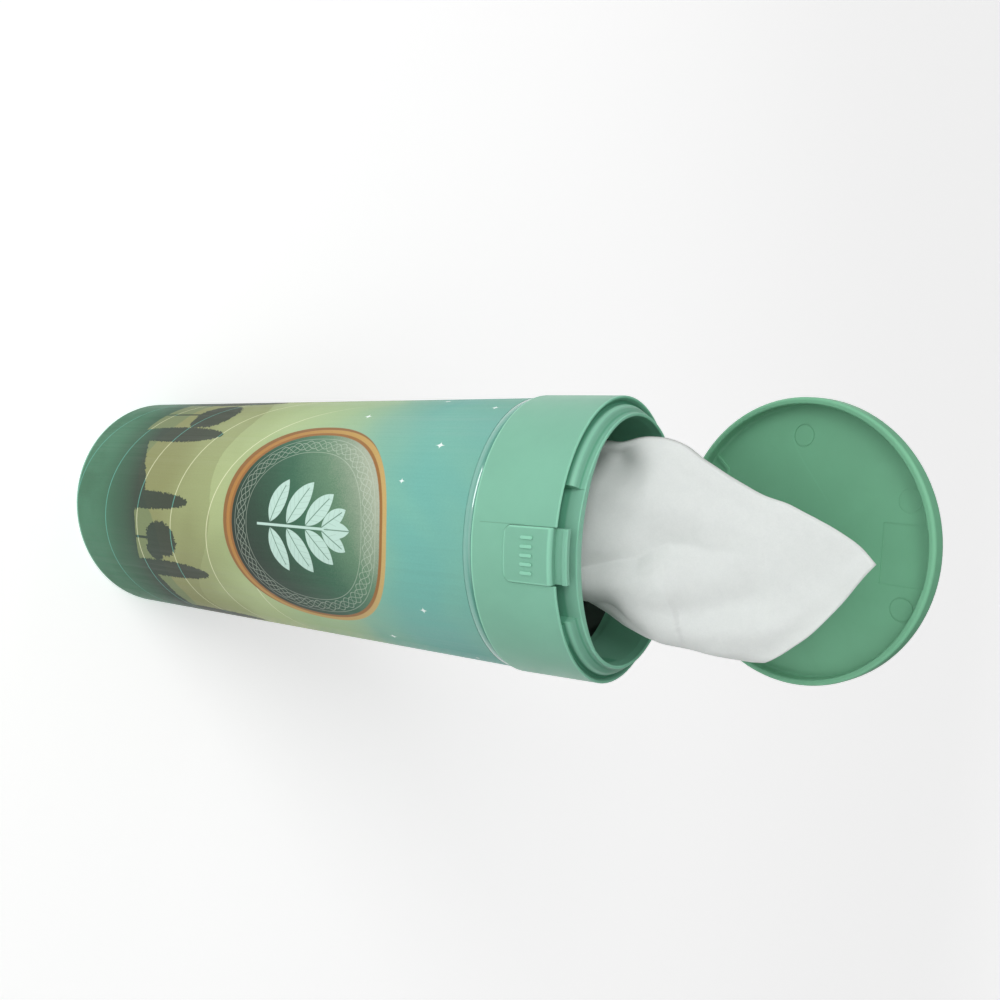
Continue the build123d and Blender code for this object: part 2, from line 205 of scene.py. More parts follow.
def bump(height, strength, distance, normal=None):
    n = V.tree.nodes.new("ShaderNodeBump")
    n.inputs["Strength"].default_value = strength
    n.inputs["Distance"].default_value = distance
    V.tree.links.new(height.s, n.inputs["Height"])
    if normal is not None:
        V.tree.links.new(normal, n.inputs["Normal"])
    return n.outputs[0]


def wear(node, *mats):
    node.data.materials.clear()
    for m in mats:
        node.data.materials.append(m)


# --------------------------------------------------------------- materials
def plastic(name, colour, rough=0.36, cloud=0.045, marks=None):
    """Moulded polypropylene: faint cloudiness, flow lines and grain, and a waxy sheen."""
    m, t, b, co = start(name)
    big = noise(36.0, 3.0, 0.55, co)
    flow = noise(120.0, 4.0, 0.6, co, 1.2)
    fine = noise(1800.0, 2.0, 0.6, co)
    dark = tuple(c * (1 - cloud) for c in colour)
    light = tuple(min(1, c * (1 + cloud)) for c in colour)
    col = mixc(step(big * 0.75 + flow * 0.25, 0.5, 0.4), dark, light)
    height = fine * 0.5 + big * 2.4 + flow * 0.8
    if marks:
        col, height = marks(split(co), col, height)
    t.links.new(col, b.inputs["Base Color"])
    r = step(noise(150.0, 3.0, 0.6, co), 0.5, 0.8) * 0.10 + (rough - 0.05)
    t.links.new(r.s, b.inputs["Roughness"])
    t.links.new(bump(height, 0.12, 0.00012), b.inputs["Normal"])
    b.inputs["Subsurface Weight"].default_value = 0.10
    b.inputs["Subsurface Radius"].default_value = (0.0010, 0.0018, 0.0012)
    b.inputs["Subsurface Scale"].default_value = 1.0
    b.inputs["Specular IOR Level"].default_value = 0.18
    b.inputs["IOR"].default_value = 1.49
    return m


def paler(c, k):
    return tuple(min(1.0, v * (1 + k) + 0.012) for v in c)


TONE = 0.94                # keeps the prints and plastics under the bright studio light
MINT = lin(120, 175, 151)
# the lid's mint: the collar's plastic made a little darker and more saturated, as painted shade for the lid's dish
LID = lin(110, 168, 135)


def collar_marks_and_painted_light(xyz, col, height):
    # the mould's parting line beside the pad; painted highlights along the collar's top and bottom outer edges, and
    # painted shade in the groove at its top
    x, y, z = xyz
    line = below(vabs(x + 7.0), 0.10, 0.12) * step(z, 169.5, 0.6) * below(z, 181.7, 0.6) * below(y, 0.0, 1.0)
    col = mixc(line * 0.55, col, tuple(c * 0.55 for c in MINT))
    r = hyp(x, y)
    # painted highlight: the collar's top and bottom outer edges made paler
    edge = step(z, 189.75, 0.35) * step(r, 37.30, 0.3)
    edge = vmax(edge, below(z, 167.75, 0.4) * step(r, 37.9, 0.3))
    col = mixc(edge * 0.85, col, paler(MINT, 0.36))
    # painted shade: darker in the groove inside the collar's top
    groove_shade = step(z, 189.0, 0.2) * below(r, 37.25, 0.5)
    col = mixc(groove_shade * 0.30, col, tuple(c * 0.72 for c in MINT))
    return col, height - line * 3.0


def neck_painted_light(xyz, col, height):
    # painted highlights on the edges of the mouth and bead, and painted shade in the grooves between them, below the
    # bead and low on the front side
    x, y, z = xyz
    r = hyp(x, y)
    # painted highlight on the mouth's top edge and on the bead
    edge = step(z, 193.15, 0.3)
    edge = vmax(edge, below(vabs(r - 35.45), 0.22, 0.3) * step(z, 189.9, 0.4) * below(z, 191.4, 0.4))
    col = mixc(edge * 0.80, col, paler(MINT, 0.34))
    # painted shade in the grooves, below the bead, and low on the front side
    groove_shade = vmax(below(vabs(r - 33.95), 0.15, 0.4) * step(z, 191.7, 0.2) * below(z, 192.5, 0.4), below(z, 189.2, 0.5) * step(r, 35.6, 0.3))
    groove_shade = vmax(groove_shade, below(z, 189.9, 0.8) * below(y, 0.0, 2.0))
    col = mixc(groove_shade * 0.72, col, (MINT[0] * 0.38, MINT[1] * 0.68, MINT[2] * 0.57))
    return col, height


def pad_painted_light(xyz, col, height):
    # painted highlight: paler round its edges, on the ribs and on the hook's top, where they would catch the light;
    # the face inside them a little darker
    x, y, z = xyz
    r = hyp(x, y)
    rim = vmax(step(vabs(x), 6.35, 0.35), vmax(below(z, 176.95, 0.35), step(z, 188.35, 0.5)))
    rim = vmax(rim * step(r, 37.9, 0.4), step(r, 38.78, 0.06))
    rim = vmax(rim, step(z, 192.3, 0.3))
    col = mixc(rim * 0.80, col, paler(MINT, 0.32))
    face = step(r, 38.5, 0.2) * (1.0 - rim)
    return mixc(face * 0.22, col, tuple(c * 0.86 for c in MINT)), height


def lid_marks_and_painted_highlight(xyz, col, height):
    # pale flow line across the dish, left by the moulding
    x, y, z = xyz
    s = (z - 191.1) * 0.929 - (y - 39.7) * 0.370
    bow = s - (43.0 + vsin(x * 0.11 + 1.9) * 7.5)
    line = below(vabs(bow), 0.25, 0.6) * below(x, -12.0, 10.0) * step(x, -27.0, 6.0)
    col = mixc(line * 0.22, col, tuple(min(1.0, c * 1.25) for c in LID))
    # painted highlight: the rim's outer shoulder, paler, in the lid's own upright frame
    cs, sn = math.cos(math.radians(67.6)), math.sin(math.radians(67.6))
    yc = (y - 39.7) * cs - (z - 191.1) * sn + 39.7
    zc = (y - 39.7) * sn + (z - 191.1) * cs + 191.1
    r = hyp(x, yc)
    ridge_highlight = below(vabs(r - 37.75), 0.30, 0.4) * below(zc, 191.0, 0.4)
    col = mixc(ridge_highlight * 0.40, col, paler(LID, 0.22))
    rubbed = step(noise(55.0, 4.0, 0.65, vector(x * 0.001, y * 0.001, z * 0.001)), 0.54, 0.16)
    col = mixc(rubbed * 0.10, col, paler(LID, 0.25))
    return col, height + line * 0.6


collar_mat = plastic("collar_plastic", MINT, 0.36, 0.045, collar_marks_and_painted_light)
neck_mat = plastic("neck_plastic", MINT, 0.36, 0.045, neck_painted_light)
pad_mat = plastic("pad_plastic", MINT, 0.36, 0.045, pad_painted_light)
lid_mat = plastic("lid_plastic", LID, 0.38, 0.04, lid_marks_and_painted_highlight)


def tube_material():
    m, t, b, co = start("tube_plastic")
    x, y, z = split(co)
    r = hyp(x, y)
    outside = step(r, 37.0, 0.5) * below(z, 166.9, 0.4)
    cloud = noise(34.0, 3.0, 0.55, co)
    teal = mixc(step(cloud, 0.5, 0.4), lin(92, 154, 140), lin(106, 166, 150))
    # painted shade: the tube's inside coloured near black, for the dark depth seen through the mouth
    inner = mixc(step(noise(60.0, 2.0, 0.5, co), 0.5, 0.5), lin(22, 32, 28), lin(34, 46, 40))
    t.links.new(mixc(outside, inner, teal), b.inputs["Base Color"])
    t.links.new((0.30 - outside * 0.16).s, b.inputs["Roughness"])
    t.links.new(bump(noise(90.0, 3.0, 0.5, co), 0.10, 0.0003), b.inputs["Normal"])
    b.inputs["Coat Weight"].default_value = 1.0
    b.inputs["Coat Roughness"].default_value = 0.05
    b.inputs["Coat IOR"].default_value = 1.65
    b.inputs["IOR"].default_value = 1.5
    return m


def base_material():
    m, t, b, co = start("base_plastic")
    x, y, z = split(co)
    under = below(z, 0.35, 0.3)
    scuff = step(noise(420.0, 4.0, 0.7, co, 0.6), 0.60, 0.12) * under
    col = mixc(step(noise(40.0, 3.0, 0.55, co), 0.5, 0.4), lin(92, 156, 132), lin(112, 176, 150))
    col = mixc(scuff * 0.5, col, lin(140, 168, 150))
    t.links.new(col, b.inputs["Base Color"])
    t.links.new((scuff * 0.25 + under * 0.12 + 0.16).s, b.inputs["Roughness"])
    t.links.new(bump(noise(900.0, 3.0, 0.6, co) + scuff, 0.10, 0.00010), b.inputs["Normal"])
    b.inputs["Coat Weight"].default_value = 0.5
    b.inputs["Coat Roughness"].default_value = 0.06
    return m


def steel(name, colour, rough):
    m, t, b, co = start(name)
    b.inputs["Metallic"].default_value = 1.0
    s = noise(900.0, 2.0, 0.6, co)
    t.links.new(mixc(s, tuple(c * 0.9 for c in colour), colour), b.inputs["Base Color"])
    t.links.new((s * 0.12 + rough).s, b.inputs["Roughness"])
    t.links.new(bump(s, 0.08, 0.00005), b.inputs["Normal"])
    return m


# ------------------------------------------------------------ printed film
def vesica(p, q, length, half):
    """Below 0 inside a leaf shape that lies along p."""
    r = (length * length / 4 + half * half) / (2 * half)
    return hyp(p, vabs(q) + (r - half)) - r


def film_material():
    """Printed landscape: a tree line over deep green ground, a warm sky that turns to turquoise
    at the collar, thin pale rings, a few sparkles, and an oval medallion with a leaf sprig."""
    m, t, b, co = start("printed_film")
    x, y, z = split(co)
    a = V.op("ARCTAN2", x, -y)
    u = a * 37.7
    v = z
    soft = noise(20.0, 3.0, 0.55, co)
    mid = noise(64.0, 3.0, 0.55, co)
    brush = noise(330.0, 4.0, 0.65, co)
    print_grain = noise(2600.0, 1.0, 0.5, co)

    # sky
    vv = v + (soft - 0.5) * 22.0 + (mid - 0.5) * 6.0
    col = ramp(vv / 167.0, [
        (0.00, lin(138, 141, 92)), (0.28, lin(142, 146, 96)), (0.40, lin(150, 160, 110)),
        (0.52, lin(164, 182, 130)), (0.63, lin(150, 182, 138)), (0.75, lin(128, 178, 154)),
        (0.88, lin(118, 180, 162)), (1.00, lin(116, 174, 156))])
    lake = step(noise(23.0, 2.0, 0.5, co, 0.4), 0.50, 0.24) * step(v, 128.0, 30.0)
    col = mixc(lake * 0.40, col, lin(92, 164, 162))
    glow = step(noise(29.0, 2.0, 0.5, co, 0.3), 0.52, 0.22) * step(v, 50.0, 40.0) * below(v, 126.0, 40.0)
    col = mixc(glow * 0.42, col, lin(182, 198, 144))

    # pale far hills
    rag = (brush - 0.5) * 1.4
    far = vsin(a * 2.0 + 2.9) * 8.0 + vsin(a * 5.0 + 1.0) * 3.5 + 66.0 + rag
    mask = step(far - v, 0.0, 0.25)
    col = mixc(mask * 0.40, col, lin(128, 132, 84))
    middle = vsin(a * 3.0 + 0.2) * 5.5 + vsin(a * 7.0 + 1.3) * 2.0 + 40.0 + rag
    mask = step(middle - v, 0.0, 0.25)
    col = mixc(mask * 0.55, col, lin(98, 122, 86))

    # tree line: poplars, round trees and shrubs on deep green ground
    ground = vsin(a * 2.0 + 0.8) * 3.4 + vsin(a * 5.0 + 2.0) * 2.2 + 29.5 + rag * 0.6
    dark = step(ground - v, 0.0, 0.25)
    edge = (noise(1150.0, 3.0, 0.7, co) - 0.5)
    cell = 2 * math.pi * 37.7 / 5
    for shift, kind in ((6.0, 0), (17.0, 1), (29.5, 0), (38.0, 2), (-3.5, 2)):
        w = vmod(u + shift, cell)
        index = vfloor((u + shift) / cell)
        w = w - cell / 2
        grow = vsin(index * 2.7 + shift) * 0.5 + 0.5
        if kind == 0:
            top = grow * 13.0 + 60.0
            length = top - 20.0
            p = v - (top + 20.0) / 2
            body = vabs(p) / (length / 2)
            half = vsqrt(vmax(1.0 - body * body, 0.0)) * (grow * 1.1 + 2.9)
            shape = step(half - vabs(w) + edge * 2.6, 0.0, 0.2) * below(v, top, 0.3)
        elif kind == 1:
            high = grow * 7.0 + 46.0
            crown = hyp(w, (v - high) * 0.82) - (grow * 1.6 + 5.9) + edge * 3.4
            crown2 = hyp(w - 4.2, (v - high + 4.6) * 0.9) - 3.6 + edge * 3.0
            trunk = vmax(vabs(w) - 0.45, v - high)
            shape = below(vmin(vmin(crown, crown2), trunk), 0.0, 0.2)
        else:
            bush = hyp(w * 0.62, v - ground) - (grow * 3.0 + 5.4) + edge * 2.6
            shape = below(bush, 0.0, 0.2)
        dark = vmax(dark, shape * step(v, 17.0, 0.3))
    col = mixc(dark * 0.93, col, ramp(v / 80.0, [
        (0.00, lin(52, 108, 80)), (0.20, lin(50, 104, 78)), (0.34, lin(42, 84, 64)), (0.43, lin(36, 56, 46)),
        (0.64, lin(36, 48, 40)), (1.00, lin(48, 62, 50))]))
    mist = below(v, 16.0, 18.0) * step(mid, 0.45, 0.4)
    col = mixc(mist * 0.40, col, lin(84, 142, 112))

    # thin pale rings, wide apart, round a point off to one side
    reach = hyp(u - 15.0, v - 132.0)
    ring = V.op("PINGPONG", reach + 4.0, 8.5)
    line = below(ring, 0.17, 0.22) * below(v, 104.0, 30.0) * step(reach, 40.0, 10.0)
    col = mixc(line * 0.70, col, mixc(dark, lin(230, 232, 192), lin(104, 184, 168)))

    # sparkles
    shine = None
    for su, sv, size in ((-39, 119, 1.2), (-27, 151, 1.3), (-51, 139, 1.2), (-16, 143, 0.9), (-44, 159, 1.1),
                         (19, 149, 1.1), (34, 131, 1.3), (41, 156, 1.0), (64, 128, 1.2), (-78, 146, 1.3),
                         (98, 150, 1.2), (-108, 126, 1.2)):
        s = vsqrt(vabs(u - su)) + vsqrt(vabs(v - sv)) * 0.86
        s = below(s, math.sqrt(size), 0.16)
        shine = s if shine is None else vmax(shine, s)
    col = mixc(shine * 0.9, col, lin(238, 248, 244))

    # medallion
    du, dv = u + 1.5, v - 109.6
    au, bv, power = 30.8, 30.8, 2.2

    def oval(p, q):
        return vpow(vpow(vabs(p) / au, power) + vpow(vabs(q) / bv, power), 1 / power)

    rho = oval(du, dv)
    under = oval(du + 0.7, dv + 1.1)
    col = mixc(below(under, 1.012, 0.010), col, lin(140, 98, 52))
    gold = ramp((dv / bv) * 0.5 + (du / au) * 0.18 + 0.5, [
        (0.0, lin(172, 122, 60)), (0.5, lin(186, 150, 82)), (1.0, lin(192, 164, 104))])
    col = mixc(below(rho, 1.0, 0.010), col, gold)
    col = mixc(below(rho, 0.955, 0.010), col, lin(148, 102, 52))
    field = ramp((dv / bv) * 0.42 - (du / au) * 0.22 + 0.5 + (print_grain - 0.5) * 0.10 + (mid - 0.5) * 0.12, [
        (0.08, lin(38, 50, 42)), (0.28, lin(42, 70, 54)), (0.52, lin(54, 100, 76)),
        (0.72, lin(96, 132, 104)), (0.95, lin(172, 180, 160))])
    inside = below(rho, 0.925, 0.010)
    col = mixc(inside, col, field)
    # interlaced line work near the rim, and two hairline ovals
    theta = V.op("ARCTAN2", dv / bv, du / au)
    wave = vcos(theta * 18.0)
    wave2 = vsin(theta * 18.0)
    lace = None
    for w, at, amp in ((wave, 0.80, 0.058), (wave * -1.0, 0.80, 0.058), (wave2, 0.80, 0.038), (wave2 * -1.0, 0.80, 0.038)):
        s = below(vabs(rho - at - w * amp), 0.0040, 0.006)
        lace = s if lace is None else vmax(lace, s)
    for at in (0.722, 0.878):
        lace = vmax(lace, below(vabs(rho - at), 0.003, 0.006))
    col = mixc(lace * 0.44, col, lin(196, 210, 192))
    # the sprig
    grow = 1.10
    side, up = vabs(du) / grow, dv / grow
    leaf = None
    vein = None
    for at, turn, length, half in ((-11.5, 66, 12.5, 2.7), (-5.5, 55, 13.5, 3.0), (1.0, 44, 12.0, 2.7), (6.5, 32, 9.0, 2.1)):
        sn, cs = math.sin(math.radians(turn)), math.cos(math.radians(turn))
        p = side * sn + (up - at) * cs - (length / 2 + 0.8)
        q = side * cs - (up - at) * sn
        s = below(vesica(p, q, length, half), 0.0, 0.12)
        rib = below(vabs(q), 0.14, 0.12) * below(p, length * 0.36, 0.3)
        ribs = below(V.op("PINGPONG", p - vabs(q) * 0.9, 1.0), 0.10, 0.14) * 0.30
        s2 = s * vmax(rib, ribs)
        leaf = s if leaf is None else vmax(leaf, s)
        vein = s2 if vein is None else vmax(vein, s2)
    s = below(vesica(up - 12.2, side, 8.5, 2.0), 0.0, 0.12)
    leaf = vmax(leaf, s)
    vein = vmax(vein, s * below(side, 0.14, 0.12))
    twig = below(side, 0.34, 0.12) * step(up, -16.0, 0.2) * below(up, 9.0, 0.2)
    leaf = vmax(leaf, twig) * inside
    col = mixc(leaf, col, lin(186, 216, 204))
    col = mixc(vein * 0.8 * inside, col, lin(70, 112, 88))

    # print grain and the film's overlap at the back
    col = mixc(0.10, col, mixc(print_grain, (0.2, 0.2, 0.2), (0.8, 0.8, 0.8)), "OVERLAY")
    seam = below(117.3 - vabs(u), 0.0, 0.2) * step(u, 0.0, 1.0)
    lap = below(vabs(u - 117.3), 0.08, 0.10)
    col = mixc(seam * 0.16 + lap * 0.45, col, lin(60, 96, 78))
    t.links.new(mixc(TONE, (0.0, 0.0, 0.0), col), b.inputs["Base Color"])

    # gloss, with long shallow ripples along the tube as shrunk film has
    ripple = noise(1.0, 3.0, 0.5, vector(u * 0.34, v * 0.009))
    t.links.new((step(brush, 0.5, 0.6) * 0.08 + 0.34).s, b.inputs["Roughness"])
    t.links.new(bump(ripple, 0.35, 0.0006), b.inputs["Normal"])
    t.links.new(bump(ripple * 1.2 + seam * 0.15, 0.5, 0.0008), b.inputs["Coat Normal"])
    b.inputs["Specular IOR Level"].default_value = 0.03
    look = t.nodes.new("ShaderNodeLayerWeight")
    look.inputs["Blend"].default_value = 0.5
    facing = V(look.outputs["Facing"])
    t.links.new((0.75 - step(facing, 0.60, 0.36) * 0.69).s, b.inputs["Coat Weight"])
    b.inputs["Coat Roughness"].default_value = 0.035
    b.inputs["Coat IOR"].default_value = 1.38
    return m


def tissue_material(name, layered=False):
    """Soft non-woven tissue: matt, slightly grey white, with a fibrous nap."""
    m, t, b, co = start(name)
    fibre = noise(2300.0, 4.0, 0.75, co, 0.8)
    clump = noise(420.0, 3.0, 0.6, co, 0.5)
    broad = noise(40.0, 2.0, 0.5, co)
    col = mixc(step(clump * 0.35 + fibre * 0.65, 0.5, 0.4), (0.662, 0.698, 0.673), (0.714, 0.746, 0.720))
    col = mixc(step(broad, 0.5, 0.5) * 0.25, col, (0.66, 0.70, 0.675))
    if layered:
        x, y, z = split(co)
        r = hyp(x, y)
        # painted shade: darker spiral lines in the gaps between the wound layers on the roll's top
        lines = V.op("PINGPONG", r + V.op("ARCTAN2", y, x) * (0.9 / (2 * math.pi)), 0.45)
        col = mixc(below(lines, 0.06, 0.1) * below(vabs(z - 155.0), 3.0, 1.0) * 0.35, col, (0.62, 0.64, 0.63))
    t.links.new(col, b.inputs["Base Color"])
    b.inputs["Roughness"].default_value = 0.92
    t.links.new(bump(fibre * 0.8 + clump * 0.5, 0.30, 0.00014), b.inputs["Normal"])
    b.inputs["Specular IOR Level"].default_value = 0.25
    b.inputs["Sheen Weight"].default_value = 0.25
    b.inputs["Sheen Roughness"].default_value = 0.5
    b.inputs["Subsurface Weight"].default_value = 0.30
    b.inputs["Subsurface Radius"].default_value = (0.0012, 0.0012, 0.0011)
    b.inputs["Subsurface Scale"].default_value = 1.0
    return m


wear(nodes["collar"], collar_mat)
wear(nodes["neck_ring"], neck_mat)
wear(nodes["press_latch"], pad_mat)
wear(nodes["lid"], lid_mat)
wear(nodes["tube"], tube_material())
wear(nodes["base_cap"], base_material())
wear(nodes["printed_sleeve"], film_material())
pin_steel = steel("pin_steel", (0.62, 0.62, 0.64), 0.22)
spring_steel = steel("spring_steel", (0.50, 0.51, 0.53), 0.28)
for n in ("hinge_pin", "latch_pin"):
    wear(nodes[n], pin_steel)
for n in ("lid_spring", "latch_spring"):
    wear(nodes[n], spring_steel)
sheet_mat = tissue_material("tissue")
roll_mat = tissue_material("tissue_layers", True)


# ------------------------------------------------------------ tissue sheet
def spline(points, count):
    """A natural cubic through the points, sampled evenly by its chord length."""
    p = np.array(points, float)
    s = np.r_[0, np.cumsum(np.linalg.norm(np.diff(p, axis=0), axis=1) ** 0.8)]
    n = len(p)
    h = np.diff(s)
    a = np.eye(n)
    r = np.zeros((n, p.shape[1]))
    for i in range(1, n - 1):
        a[i, i - 1], a[i, i], a[i, i + 1] = h[i - 1], 2 * (h[i - 1] + h[i]), h[i]
        r[i] = 6 * ((p[i + 1] - p[i]) / h[i] - (p[i] - p[i - 1]) / h[i - 1])
    m = np.linalg.solve(a, r)

    def at(q):
        i = np.clip(np.searchsorted(s, q, "right") - 1, 0, n - 2)
        l, g = q - s[i], s[i + 1] - q
        hi = h[i]
        return (m[i].T * g ** 3 / (6 * hi) + m[i + 1].T * l ** 3 / (6 * hi)
                + (p[i] / hi[:, None] - m[i] * hi[:, None] / 6).T * g
                + (p[i + 1] / hi[:, None] - m[i + 1] * hi[:, None] / 6).T * l).T

    fine = at(np.linspace(0, s[-1], 1600))
    length = np.r_[0, np.cumsum(np.linalg.norm(np.diff(fine, axis=0), axis=1))]
    want = np.linspace(0, length[-1], count)
    return np.stack([np.interp(want, length, fine[:, k]) for k in range(p.shape[1])], 1)




def waves(x, z, size, count, seed):
    """A smooth random field of about unit height with features of the given size."""
    g = np.random.default_rng(seed)
    out = np.zeros_like(x)
    for _ in range(count):
        ang, ph, f = g.uniform(0, 2 * np.pi), g.uniform(0, 2 * np.pi), g.uniform(0.6, 1.5) / size
        out += np.sin(2 * np.pi * f * (x * np.cos(ang) + z * np.sin(ang)) + ph)
    return out / math.sqrt(count / 2)


def along(x, z, line):
    """(distance to the polyline, signed by its left side; share of the way along it)."""
    q = np.array(line, float)
    best = np.full(x.shape, 1e9)
    sign = np.zeros(x.shape)
    share = np.zeros(x.shape)
    total = np.linalg.norm(np.diff(q, axis=0), axis=1).sum()
    done = 0.0
    for a, b in zip(q[:-1], q[1:]):
        d = b - a
        l = np.linalg.norm(d)
        k = np.clip(((x - a[0]) * d[0] + (z - a[1]) * d[1]) / l ** 2, 0, 1)
        px, pz = x - a[0] - k * d[0], z - a[1] - k * d[1]
        dist = np.hypot(px, pz)
        side = np.sign(d[0] * pz - d[1] * px)
        near = dist < best
        best = np.where(near, dist, best)
        sign = np.where(near, side, sign)
        share = np.where(near, (done + k * l) / total, share)
        done += l
    return best * sign, share


NS, NT = 170, 84
upper = [(-6.5, 0, 152), (-8.5, 0.3, 158), (-15, 0, 168), (-22.5, -1.0, 178), (-26.2, -2.0, 185.6),
         (-25.9, -2.5, 189.36), (-26.6, -3.0, 193.0), (-27.3, -3.5, 196.9), (-27.34, -3.8, 199.51),
         (-27.0, -4.0, 203.01), (-26.06, -4.0, 206.14), (-24.65, -4.0, 209.0), (-22.35, -3.9, 212.1),
         (-20.5, -3.6, 215.05), (-18.65, -3.2, 217.97), (-17.0, -2.7, 220.8), (-15.42, -2.2, 223.61),
         (-14.0, -1.7, 226.38), (-13.05, -1.3, 229.13), (-12.2, -1.0, 231.86), (-10.9, -0.7, 234.6),
         (-9.55, -0.3, 237.29), (-8.2, 0.2, 239.94), (-6.75, 0.7, 242.57), (-5.1, 1.2, 245.19),
         (-3.15, 1.8, 247.82), (-1.14, 2.2, 249.81), (0.94, 2.5, 251.61)]
lower_front = [(6.5, 0, 152), (9.0, -0.8, 160), (13.0, -3.0, 173), (15.5, -5.0, 185.38), (15.4, -6.0, 191.6),
               (17.45, -6.3, 195.43), (20.55, -6.5, 199.68), (22.9, -6.3, 202.9), (23.95, -6.1, 205.94),
               (24.35, -5.8, 209.01), (24.72, -5.4, 212.01), (25.16, -4.9, 214.94), (25.62, -4.4, 217.84),
               (26.05, -3.7, 220.65), (26.4, -2.9, 223.4), (26.6, -2.2, 226.15), (26.34, -1.5, 229.32)]
lower_back = [(6.5, 0.4, 152), (9.5, -0.1, 160), (14.0, -0.6, 173), (16.8, -0.9, 184.0), (18.45, -1.3, 187.6),
              (20.9, -1.8, 192.4), (23.0, -2.6, 197.2), (24.0, -3.5, 201.3), (24.25, -4.2, 205.4),
              (24.6, -4.7, 211.0), (25.4, -3.8, 217.0), (26.1, -2.2, 223.0), (26.1, -0.7, 228.6)]
end_edge = [(0.94, 2.5, 251.61), (2.17, 2.4, 250.67), (5.5, 2.0, 248.43), (9.21, 1.5, 246.2), (12.5, 1.0, 243.91),
            (15.62, 0.6, 241.54), (18.5, 0.2, 239.12), (20.8, -0.3, 236.64), (23.03, -0.7, 234.1),
            (25.0, -1.2, 231.54), (26.34, -1.5, 229.32)]


def patch(top, bottom, end):
    """A surface between four edges: s runs up the sheet, t from the upper edge to the lower."""
    T, B, E = spline(top, NS), spline(bottom, NS), spline(end, NT)
    S = np.linspace(T[0], B[0], NT)
    s, t = np.linspace(0, 1, NS)[:, None, None], np.linspace(0, 1, NT)[None, :, None]
    p = ((1 - t) * T[:, None] + t * B[:, None] + (1 - s) * S[None] + s * E[None]
         - ((1 - s) * (1 - t) * T[0] + s * (1 - t) * T[-1] + (1 - s) * t * B[0] + s * t * B[-1]))
    return p


def relief(p):
    """How far the sheet stands towards +Y of its smooth surface, in mm."""
    x, z = p[..., 0], p[..., 2]
    s = np.linspace(0, 1, NS)[:, None] * np.ones((1, NT))
    t = np.ones((NS, 1)) * np.linspace(0, 1, NT)[None, :]
    ease = lambda v, a, b: np.clip((v - a) / (b - a), 0, 1) ** 2 * (3 - 2 * np.clip((v - a) / (b - a), 0, 1))
    inner = np.sin(np.pi * np.clip(t, 0, 1)) ** 0.7
    out = -15.0 * np.sin(np.pi * t ** 1.8) ** 0.38 * ease(z, 157, 179) * (1 - 0.76 * np.clip((z - 178) / 50, 0, 1) ** 0.9) * (1 - 0.7 * ease(z, 222, 250))
    # main crease from the mouth: a soft slope down to it, a sharp line, then a broad bright face
    d, k = along(x, z, [(8.6, 174), (6.6, 181), (5.7, 185), (4.5, 190), (3.0, 195), (2.0, 200), (-0.2, 203.4),
                        (-1.5, 207), (-1.5, 211.5), (-0.7, 216), (-0.3, 223), (0.8, 232)])
    deep = 1 - ease(k, 0.42, 0.95)
    over = np.exp(-(np.abs(d) / (2.4 + 3.2 * k)) ** 1.2)
    under = np.exp(-(np.abs(d) / (1.2 + 2.2 * k)) ** 1.2) - 0.85 * ease(-d, 0, 7.5)
    out += 2.7 * deep * np.where(d > 0, over, under) * inner
    # hollow under the upper edge where the sheet leaves the mouth
    d, k = along(x, z, [(-21.5, 176), (-21.6, 184), (-21.0, 190), (-19.0, 196), (-15.5, 203)])
    out += 4.8 * np.exp(-(d / (2.9 + 2.2 * k)) ** 2) * ease(k, 0.0, 0.2) * (1 - ease(k, 0.45, 1.0)) * np.clip(t / 0.06, 0, 1)
    # a short rounded facet beside the lower edge
    d, k = along(x, z, [(7.6, 204.2), (10.5, 205.6), (14.5, 204.6)])
    out += -0.55 / (1 + np.exp(-d / 0.8)) * np.exp(-(d / 7.0) ** 2) * np.sin(np.pi * np.clip(k, 0.05, 0.95)) * inner
    # long soft folds that fan out from the mouth
    for line, w, h in (([(-13, 180), (-12.5, 200), (-7, 222), (0, 240)], 3.8, -0.55),
                       ([(14.5, 198), (14.2, 214), (11.5, 222), (9.5, 231)], 3.4, 1.35),
                       ([(18, 205), (20.5, 216), (19, 228), (14, 238)], 2.6, -0.70),
                       ([(-17, 209), (-9, 213), (-2, 219)], 3.0, -0.65),
                       ([(-10, 230), (0, 236), (9, 241)], 2.8, 0.75),
                       ([(-24, 203), (-17, 211), (-10, 224)], 1.7, 0.42)):
        d, k = along(x, z, line)
        out += h * np.exp(-(d / w) ** 2) * np.sin(np.pi * np.clip(k, 0, 1)) ** 0.6 * inner
    soft = ease(z, 176, 196)
    out += 0.26 * waves(x, z, 24.0, 7, 3) * inner * soft
    out += 0.065 * waves(x, z, 9.0, 12, 5) * inner * soft
    out += 0.014 * waves(x, z, 3.4, 18, 11) * soft
    # gathers that run down into the core
    gather = 1 - ease(s, 0.03, 0.40)
    out += gather * 3.6 * np.sin(2 * np.pi * (2.6 * t + 0.15)) * (0.35 + 0.65 * ease(z, 150, 162))
    # edges flutter a little
    rim = np.exp(-((1 - t) / 0.07) ** 2) + 0.6 * np.exp(-((1 - s) / 0.06) ** 2)
    out += rim * 0.30 * np.sin(x * 0.55 + z * 0.42) * soft
    return out


